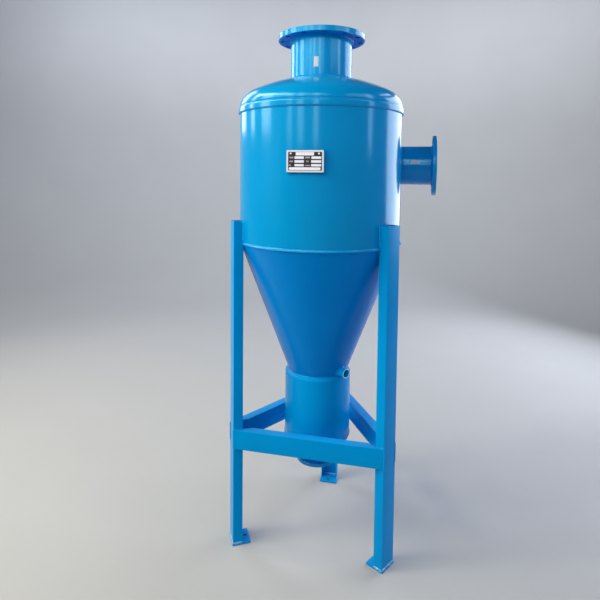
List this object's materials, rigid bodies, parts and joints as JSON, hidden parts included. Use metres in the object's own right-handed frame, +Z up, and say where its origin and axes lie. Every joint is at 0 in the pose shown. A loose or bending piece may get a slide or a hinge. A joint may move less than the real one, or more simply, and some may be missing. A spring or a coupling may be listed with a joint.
{
  "type": "cyclone separator",
  "caption": "Upright cyclone separator: cylindrical shell with dished head, cone and sand pot on three channel legs, tangential inlet flange, top outlet flange and bottom drain.",
  "frame": {"origin": "on the vessel's axis at floor level, at the centre of the anchor hole circle", "axes": "+Z up along the vessel's axis, +X the way the inlet flange faces, -Y the side of the nameplate"},
  "size_m": [1.056, 0.9243, 2.6846],
  "materials": {
    "blue_paint": "glossy sprayed enamel",
    "weld_paint": "glossy enamel over rippled weld beads",
    "nameplate": "etched plate with dark print"
  },
  "bodies": {
    "root": {"outlet_flange": "blue_paint", "outlet_pipe": "blue_paint", "outlet_flange_weld": "weld_paint", "outlet_neck_weld": "weld_paint", "top_head": "blue_paint", "head_seam_weld": "weld_paint", "shell": "blue_paint", "cone_seam_weld": "weld_paint", "cone": "blue_paint", "pot_seam_weld": "weld_paint", "pot_shoulder": "blue_paint", "pot_shell": "blue_paint", "pot_bottom_weld": "weld_paint", "pot_bottom": "blue_paint", "drain_pipe": "blue_paint", "drain_flange": "blue_paint", "drain_flange_weld": "weld_paint", "inlet_pipe": "blue_paint", "inlet_flange": "blue_paint", "inlet_flange_weld": "weld_paint", "flush_socket": "blue_paint", "nameplate_bracket": "blue_paint", "nameplate": "nameplate", "leg_front_right": "blue_paint", "leg_front_left": "blue_paint", "leg_back": "blue_paint", "foot_front_right": "blue_paint", "foot_front_left": "blue_paint", "foot_back": "blue_paint", "beam_front": "blue_paint", "beam_back_right": "blue_paint", "beam_back_left": "blue_paint"}
  },
  "joints": []
}
